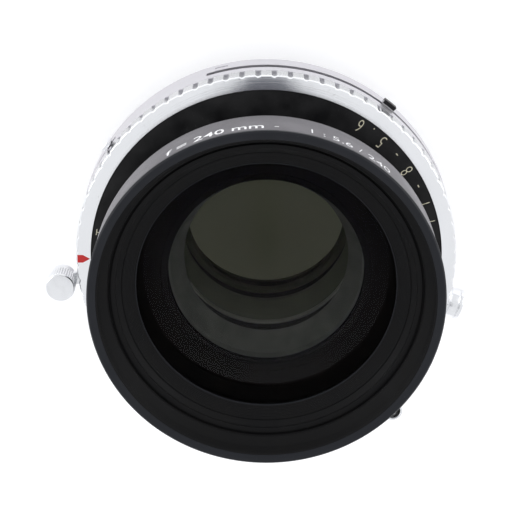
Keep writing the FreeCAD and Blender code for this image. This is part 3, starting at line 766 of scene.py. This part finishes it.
# ------------------------------------------------------------------ the pieces
class LENS_OT_front_cell(bpy.types.Operator):
    """Bezel, band, barrel, retaining ring and glasses of the front cell"""
    bl_idname = "lens.front_cell"
    bl_label = "Front cell"

    def execute(self, context):
        turned_piece("front_rim_finish", [
            (43.4, 39.0), (44.6, 39.0), (44.6, 47.35), (45.7, 47.35), (45.7, 48.2, 0.2), (45.3, 48.6, 0.2),
            (44.35, 48.6, 0.2), (43.4, 48.25, 0.1),
        ], "anodised_black", "black_anodised", edge=0.08)
        crest, root, pitch = 43.0, 43.28, 0.5
        ridges = []
        for i in range(8):
            low = 47.95 - i * pitch
            ridges += [(crest, low, 0.04), (root, low - pitch / 2, 0.04)]
        behind = [(37.4, 36.92), (42.0, 36.92), (42.0, 39.0), (43.4, 39.0), (43.4, 48.22)]
        inside = [
            (crest, 43.9, 0.2), (41.0, 42.4, 0.3), (40.7, 41.9), (40.7, 41.0), (40.15, 41.0),
            (40.15, 41.75, 0.15), (38.9, 41.5, 0.15), (38.7, 40.9), (37.4, 39.8),
        ]
        turned_piece("front_bore_finish", behind + ridges + inside, "bore_black", "black_anodised",
                     ("front_bezel",), edge=0.08)
        turned_piece("front_band_finish", [(44.6, 34.3), (45.3, 34.3), (45.3, 47.3), (44.6, 47.3)],
                     "band_grey", "satin_silver", ("front_band",))
        turned_piece("front_barrel_finish", [
            (27.5, 11.2), (28.95, 11.2), (28.95, 17.9), (31.4, 17.92), (31.4, 19.0), (36.8, 19.6, 0.4),
            (36.8, 30.6, 0.8), (44.6, 34.28), (44.6, 39.0), (42.05, 39.0), (42.05, 36.9), (35.9, 36.9),
            (35.9, 20.2), (27.5, 18.2),
        ], "anodised_black", "black_anodised")
        turned_piece("front_barrel_bore_finish", [
            (24.5, 11.2), (27.5, 11.2), (27.5, 18.2), (35.9, 20.2), (35.9, 36.9), (35.05, 36.9), (35.05, 24.0),
            (26.05, 24.0), (26.05, 17.0), (24.5, 17.0),
        ], "baffle_black", "black_anodised", ("front_barrel",))

        steps = 9
        ribs = []
        for i in range(steps):
            share = i / steps
            r = 37.1 - share * 3.1
            z = 39.75 - share * 1.95
            ribs += [(r, z, 0.03), (r - 0.22, z - 0.02, 0.03)]
        turned_piece("front_ring_finish",
                     [(33.8, 37.06), (37.36, 37.06), (37.36, 39.75, 0.1)] + ribs + [(33.8, 37.8, 0.1)],
                     "bore_black", "matt_black", ("front_retaining_ring",), edge=0.08)
        turned_piece("front_ring_lip_finish", [(33.72, 37.5), (33.95, 37.5), (33.95, 37.98), (33.72, 37.86)],
                     "anodised_black", "matt_black", edge=0.04)
        turned_piece("front_spacer_finish", [(24.3, 21.7), (26.0, 21.7), (26.0, 23.95), (24.3, 23.95)],
                     "baffle_black", "matt_black", ("front_spacer",))
        turned_piece("front_baffle_finish", [(20.0, 11.4), (24.45, 11.4), (24.45, 15.8), (23.4, 15.8)],
                     "baffle_grey", "grey_baffle", ("front_baffle",))
        return {"FINISHED"}


class LENS_OT_glasses(bpy.types.Operator):
    """The cemented pairs and the single elements of both cells, with the black paint of their edges"""
    bl_idname = "lens.glasses"
    bl_label = "Glasses"

    def execute(self, context):
        glasses = [
            ("front_pair", (43.8, 85, 29.0, 93.6, 35.0, 35.0, 30.0), "front_coating",
             ("front_glass_1", "front_glass_2")),
            ("front_meniscus", (27.22, 55, 23.22, 48, 26.0, 24.2, 23.6), "inner_coating", ("front_glass_3",)),
            ("rear_meniscus", (-14.9, -42, -18.4, -48, 22.6, 21.3, 21.3), "inner_coating", ("rear_glass_1",)),
            ("rear_pair", (-19.2, -76.5, -28.8, -70, 25.0, 22.0, 23.8), "rear_coating",
             ("rear_glass_2", "rear_glass_3")),
        ]
        for name, measures, look, nodes in glasses:
            points, faces = turned_solid(glass_profile(*measures), 160)
            piece(name, points, faces, look, HELD, "coated_glass", nodes, sharp=30.0)
        blackened = [
            ("front_pair_edge", [(30.4, 24.2), (34.8, 24.2), (34.8, 35.8), (34.65, 35.8), (34.65, 24.35),
                                 (30.4, 24.35)]),
            ("front_meniscus_edge", [(24.0, 17.15), (25.85, 17.15), (25.85, 21.4), (25.7, 21.4), (25.7, 17.3),
                                     (24.0, 17.3)]),
            ("rear_meniscus_edge", [(22.35, -13.2), (22.5, -13.2), (22.5, -9.3), (22.35, -9.3)]),
            ("rear_pair_edge", [(22.4, -16.25), (24.65, -16.25), (24.65, -24.4), (24.8, -24.4), (24.8, -16.1),
                                (22.4, -16.1)]),
        ]
        for name, corners in blackened:
            turned_piece(name, corners, "baffle_black", "matt_black", edge=0.03, segments=160)
        return {"FINISHED"}


class LENS_OT_rear_cell(bpy.types.Operator):
    """Barrel, spacer and retaining ring of the rear cell"""
    bl_idname = "lens.rear_cell"
    bl_label = "Rear cell"

    def execute(self, context):
        grip = [(30.0, -9.05)]
        for i in range(6):
            top = -19.0 - i * 1.1
            grip += [(30.0, top, 0.1), (29.65, top - 0.3, 0.1), (29.65, top - 0.5, 0.1), (30.0, top - 0.8, 0.1)]
        corners = [(26.9, 1.4), (28.95, 1.4), (28.95, -9.05)] + grip + [
            (30.0, -29.6, 0.15), (29.6, -30.0, 0.15), (27.2, -30.0, 0.2), (26.55, -29.35), (26.55, -24.5),
            (26.9, -24.5),
        ]
        turned_piece("rear_barrel_finish", corners, "anodised_black", "black_anodised", edge=0.08)
        turned_piece("rear_barrel_bore_finish", [
            (26.5, 1.4), (26.9, 1.4), (26.9, -24.5), (25.05, -24.5), (25.05, -15.9), (22.65, -15.9),
            (22.65, -9.0), (21.6, -9.0), (21.6, -7.5),
        ], "baffle_olive", "black_anodised", ("rear_barrel",), edge=0.08)
        turned_piece("rear_spacer_finish", [(21.4, -15.85), (22.6, -15.85), (22.6, -13.5), (21.4, -13.5)],
                     "baffle_olive", "matt_black", ("rear_spacer",))
        turned_piece("rear_ring_finish", [(23.9, -26.4, 0.3), (26.5, -26.4), (26.5, -24.7), (23.9, -24.7)],
                     "baffle_olive", "black_anodised", ("rear_retaining_ring",))
        return {"FINISHED"}


class LENS_OT_shutter_case(bpy.types.Operator):
    """The silver case, its plates and its screws"""
    bl_idname = "lens.shutter_case"
    bl_label = "Shutter case"

    def execute(self, context):
        polished_copy("shutter_case", "case_silver", HELD, "case_silver", 0.1)
        turned_piece("dial_plate_finish", [
            (31.6, 16.4), (45.3, 16.4), (45.3, 14.35), (47.0, 14.35), (47.0, 17.8, 0.12), (31.6, 17.8),
        ], "dial_enamel", "black_enamel", ("face_plate", "face_screws"))
        polished_copy("face_nut", "anodised_black", HELD, "steel", 0.1)
        return {"FINISHED"}


class LENS_OT_speed_ring(bpy.types.Operator):
    """The scalloped chrome speed ring with its red index"""
    bl_idname = "lens.speed_ring"
    bl_label = "Speed ring"

    def execute(self, context):
        count, depth = sizes().notches, sizes().notch_depth
        phase = math.radians(POINTER_ROW) + FULL_TURN / count / 2

        def scallop(angle, radius, height):
            """Narrow scoops in the side: a rounded hollow in the angle, fading out over the face's last
            millimetre."""
            across = np.mod((angle - phase) * count / FULL_TURN + 0.5, 1.0) - 0.5
            hollow = np.sqrt(np.clip(1.0 - (across / 0.145) ** 2, 0.0, 1.0))
            return -depth * hollow * np.clip((radius - 50.3) / 0.4, 0.0, 1.0)

        turned_piece("speed_ring_finish", [
            (43.4, 13.15), (51.05, 13.15, 0.2), (51.05, 17.65, 0.2), (50.75, 17.99, 0.1), (50.35, 17.995, 0),
            (50.25, 18.0, 0), (47.06, 18.0, 0.12), (47.06, 14.2), (43.4, 14.2),
        ], "satin_chrome", "chrome", ("speed_ring",), "speed_selector", segments=count * 16, swell=scallop)
        foot, neck, nose = 50.72, 49.25, 47.3
        shape = np.array([(foot, -1.1), (foot, 1.1), (neck, 1.1), (nose, 0.0), (neck, -1.1)])
        row = math.radians(POINTER_ROW)
        flat = np.stack([shape[:, 0] * math.cos(row) - shape[:, 1] * math.sin(row),
                         shape[:, 0] * math.sin(row) + shape[:, 1] * math.cos(row)], 1)
        low = np.column_stack([flat, np.full(5, RING_TOP - 0.1)])
        high = np.column_stack([flat, np.full(5, RING_TOP + sizes().paint)])
        faces = [[5, 6, 7, 8, 9], [4, 3, 2, 1, 0]]
        faces += [[i, (i + 1) % 5, (i + 1) % 5 + 5, i + 5] for i in range(5)]
        piece("speed_index_finish", np.concatenate([low, high]), faces, "red_enamel", "speed_selector",
              "red_enamel", ("speed_pointer",))
        return {"FINISHED"}


class LENS_OT_controls(bpy.types.Operator):
    """Cocking knob, levers, sync terminal and cable-release socket"""
    bl_idname = "lens.controls"
    bl_label = "Controls"

    def execute(self, context):
        knurl = sizes().knurl

        def ribs(angle, radius, height):
            """Rounded ribs on the knob's collar only."""
            wave = np.abs(np.sin(angle * knurl / 2)) ** 0.7
            collar = (height > 12.55) & (height < 16.9) & (radius > 3.6)
            return np.where(collar, -0.28 * (1.0 - wave), 0.0)

        knob = outline([
            (0.0, 12.3), (3.55, 12.3), (3.98, 12.6), (3.98, 14.4), (3.98, 16.5), (3.7, 16.75), (3.5, 16.8),
            (3.5, 17.0), (3.98, 17.05), (3.98, 17.5, 0.2), (3.7, 17.78, 0.15), (0.0, 17.8),
        ])
        points, faces = turned_solid(knob, knurl * 8, ribs)
        to_knob = about(KNOB_PLACE_R, COCKING_ROW)
        piece("cocking_knob_finish", to_knob(points), faces, "bright_chrome", "cocking_lever",
              "chrome", ("cocking_knob",))
        foot = outline([(0.0, 8.9), (3.2, 8.9), (3.6, 9.3), (3.6, 10.85), (0.95, 10.9), (0.0, 10.9)])
        points, faces = turned_solid(foot, 96)
        piece("cocking_knob_foot_finish", to_knob(points), faces, "bright_chrome", "cocking_lever",
              "steel", ("cocking_knob_screw",))
        milled = [
            ("cocking_ring", "bright_chrome", "cocking_lever", "steel", 0.08),
            ("aperture_lever", "dial_enamel", "aperture_control", "black_enamel", 0.3),
            ("preview_lever", "bright_chrome", "leaf_control", "chrome", 0.2),
            ("release_lever", "bright_chrome", "release", "chrome", 0.2),
            ("cable_bracket", "bright_chrome", HELD, "chrome", 0.2),
        ]
        for node, look, body, slot, bevel in milled:
            polished_copy(node, look, body, slot, bevel)

        def fine_ribs(angle, radius, height):
            """Straight ribs on the terminal's collar."""
            collar = (height > 52.9) & (height < 54.9) & (radius > 3.9)
            return np.where(collar, -0.10 * (0.5 + 0.5 * np.cos(angle * 48)), 0.0)

        turned_piece("sync_terminal_finish", [
            (3.2, 50.6), (4.5, 50.6), (4.5, 52.4, 0.15), (4.0, 52.5), (4.0, 52.7), (4.2, 52.8, 0.1),
            (4.2, 55.0),
            (4.05, 55.1), (4.05, 55.3), (4.2, 55.4), (4.2, 56.48, 0.3), (3.2, 56.48, 0.2),
        ], "bright_chrome", "chrome", ("sync_terminal",), segments=384, swell=fine_ribs,
            move=radial(SYNC_ROW, SYNC_Z))
        to_socket = about(CABLE_PLACE_R, CABLE_ROW)
        turned_piece("cable_socket_finish", [
            (2.2, 3.65), (2.85, 3.65, 0.3), (2.85, 10.98, 0.25), (2.2, 10.98, 0.2),
        ], "bright_chrome", "chrome", segments=96, move=to_socket)
        turned_piece("cable_socket_floor_finish", [
            (0.9, 3.65), (2.25, 3.65), (2.25, 5.0), (0.9, 5.0),
        ], "insulator_black", "chrome", ("cable_socket",), segments=64, move=to_socket)
        return {"FINISHED"}


class LENS_OT_lettering(bpy.types.Operator):
    """Generic figures on the dial and on the band"""
    bl_idname = "lens.lettering"
    bl_label = "Lettering"

    def execute(self, context):
        high = sizes().dial_height
        speeds = ["T", "B", "1", "2", "4", "8", "15", "30", "60", "125"]
        words = [(text, 78.5 + 9.5 * i) for i, text in enumerate(speeds)]
        lettering("speed_figures", words, on_dial(43.4, FACE_TOP, False), "cream_paint", "black_enamel", HELD,
                  high * 0.75, 0.75, 0.015)
        places = [-35.2, -39.7, -44.6] + [-51.4 - 6.75 * i for i in range(14)]
        words = list(zip("6.5-8-11-61-22-23", places))
        lettering("stop_figures", words, on_dial(46.4, FACE_TOP, True), "cream_paint", "black_enamel", HELD,
                  high, 0.66, 0.02)
        high = sizes().band_height
        length, opening = [("f = 240 mm", 15.0)], [("-", -5.2), ("1 : 5.6 / 240", -30.0)]
        lettering("band_length_figures", length, on_band(BAND_R, 44.7), "white_paint", "satin_silver",
                  HELD, high, 1.16, -0.006)
        lettering("band_opening_figures", opening, on_band(BAND_R, 44.3), "white_paint", "satin_silver",
                  HELD, high * 0.9, 1.15, 0.012)
        return {"FINISHED"}


class LENS_OT_inner_work(bpy.types.Operator):
    """Finishes on the frame's own inner pieces: blades, rings, plates and clockwork"""
    bl_idname = "lens.inner_work"
    bl_label = "Inner work"

    def execute(self, context):
        looks = {
            "blade_black": "blade_black", "steel": "turned_steel", "spring_steel": "blued_spring",
            "clock_brass": "clock_brass", "insulator": "insulator_black", "matt_black": "baffle_black",
            "grey_baffle": "baffle_grey", "case_silver": "case_silver", "chrome": "bright_chrome",
            "black_enamel": "dial_enamel", "black_anodised": "anodised_black", "satin_silver": "band_grey",
            "red_enamel": "red_enamel", "coated_glass": "front_coating",
        }
        slots = {part["node"]: part["material_slot"] for part in frame["record"]["subparts"]}
        for name, node in frame["nodes"].items():
            look = finish(looks[slots[name]])
            for place in node.material_slots:
                place.material = look
        return {"FINISHED"}


class LENS_OT_stage(bpy.types.Operator):
    """Pale floor, soft lights and the camera"""
    bl_idname = "lens.stage"
    bl_label = "Stage"

    def execute(self, context):
        ground = CAD_BOX[0][2]
        floor_mesh = bpy.data.meshes.new("studio_floor")
        signs = ((-1, -1), (1, -1), (1, 1), (-1, 1))
        corners = [(x * FLOOR_HALF_SIZE, y * FLOOR_HALF_SIZE, ground) for x, y in signs]
        floor_mesh.from_pydata(corners, [], [(0, 1, 2, 3)])
        floor = bpy.data.objects.new("studio_floor", floor_mesh)
        floor_mesh.materials.append(finish("pale_floor"))
        context.scene.collection.objects.link(floor)

        set_up = sizes()
        right, up, back = view_axes()
        target = Vector((0, 0, AIM_HEIGHT)) + AIM_RIGHT * right + AIM_UP * up
        eye = target + set_up.view_distance * back
        turn = Matrix((right, up, back)).transposed().to_4x4()
        camera_data = bpy.data.cameras.new("camera")
        camera_data.sensor_width = 36.0
        camera_data.lens = set_up.focal
        camera_data.clip_start = 0.01
        camera = bpy.data.objects.new("camera", camera_data)
        camera.matrix_world = Matrix.Translation(eye * MM) @ turn
        context.scene.collection.objects.link(camera)
        context.scene.camera = camera

        self.lamp(context, "left_softbox", -LAMP_ACROSS)
        self.lamp(context, "right_softbox", LAMP_ACROSS)
        context.scene.world = self.tent()
        context.scene.view_settings.view_transform = "Standard"
        return {"FINISHED"}

    def tent(self):
        """A white light tent with a dark slit above the lens, crossing the view's middle: its brightness goes
        by the direction's share across the view and along it."""
        world = bpy.data.worlds.new("studio")
        world.use_nodes = True
        sky = Nodes(world.node_tree)
        right = view_axes()[0]
        above = Vector((-right.y, right.x, 0))
        direction = sky.node("ShaderNodeTexCoord").outputs["Generated"]
        dot = {"operation": "DOT_PRODUCT"}
        across = sky.value("ShaderNodeVectorMath", dot, {0: direction, 1: right[:]}, "Value")
        high = sky.value("ShaderNodeVectorMath", dot, {0: direction, 1: above[:]}, "Value")
        sideways = ((across.size() - SLIT_HALF_WIDTH) / SLIT_SIDE_FADE).clamped()
        lengthways = (((high - SLIT_MIDDLE).size() - SLIT_HALF_LENGTH) / SLIT_END_FADE).clamped()
        lit = 1.0 - (1.0 - sideways) * (1.0 - lengthways)
        colour = sky.mix(lit, (0.12, 0.125, 0.15), (0.99, 1.0, 1.02))
        background = world.node_tree.nodes["Background"]
        world.node_tree.links.new(colour, background.inputs["Color"])
        background.inputs["Strength"].default_value = 0.95
        return world

    def lamp(self, context, name, across):
        """A square soft light that looks at the lens, that far to one side of the camera, in mm."""
        right, up, back = view_axes()
        data = bpy.data.lights.new(name, "AREA")
        data.shape = "SQUARE"
        data.size = LAMP_SIZE * MM
        data.energy = LAMP_POWER
        lamp = bpy.data.objects.new(name, data)
        place = across * right + LAMP_HIGH * up + LAMP_OUT * back
        aim = (Vector((0, 0, AIM_HEIGHT)) - place).to_track_quat("-Z", "Y")
        lamp.matrix_world = Matrix.Translation(place * MM) @ aim.to_matrix().to_4x4()
        context.scene.collection.objects.link(lamp)


def view_axes():
    """The picture's right, up and towards-the-viewer directions."""
    set_up = sizes()
    turn, tilt = math.radians(set_up.view_turn), math.radians(set_up.view_tilt)
    right = Vector((math.cos(turn), math.sin(turn), 0))
    above = Vector((-math.sin(turn), math.cos(turn), 0))
    axis = Vector((0, 0, 1))
    up = math.cos(tilt) * above - math.sin(tilt) * axis
    back = math.sin(tilt) * above + math.cos(tilt) * axis
    return right, up, back


class LENS_PT_panel(bpy.types.Panel):
    """Lists the steps that build the lens"""
    bl_label = "Lens"
    bl_space_type = "VIEW_3D"
    bl_region_type = "UI"
    bl_category = "Lens"

    def draw(self, context):
        for step in STEPS:
            self.layout.operator(step.bl_idname)
        for group in (context.scene.lens_sizes, context.scene.lens_colours):
            for name in group.bl_rna.properties.keys():
                if name not in ("rna_type", "name"):
                    self.layout.prop(group, name)


STEPS = (
    LENS_OT_inner_work, LENS_OT_front_cell, LENS_OT_glasses, LENS_OT_rear_cell, LENS_OT_shutter_case,
    LENS_OT_speed_ring, LENS_OT_controls, LENS_OT_lettering, LENS_OT_stage,
)
CLASSES = (LensSizes, LensColours) + STEPS + (LENS_PT_panel,)


def register():
    """Adds the settings, the steps and the panel."""
    for item in CLASSES:
        bpy.utils.register_class(item)
    bpy.types.Scene.lens_sizes = PointerProperty(type=LensSizes)
    bpy.types.Scene.lens_colours = PointerProperty(type=LensColours)


def unregister():
    """Takes them away again."""
    del bpy.types.Scene.lens_sizes
    del bpy.types.Scene.lens_colours
    for item in reversed(CLASSES):
        bpy.utils.unregister_class(item)


def main():
    """Builds the lens step by step."""
    register()
    bpy.ops.lens.inner_work()
    bpy.ops.lens.front_cell()
    bpy.ops.lens.glasses()
    bpy.ops.lens.rear_cell()
    bpy.ops.lens.shutter_case()
    bpy.ops.lens.speed_ring()
    bpy.ops.lens.controls()
    bpy.ops.lens.lettering()
    bpy.ops.lens.stage()


if __name__ == "__main__":
    main()
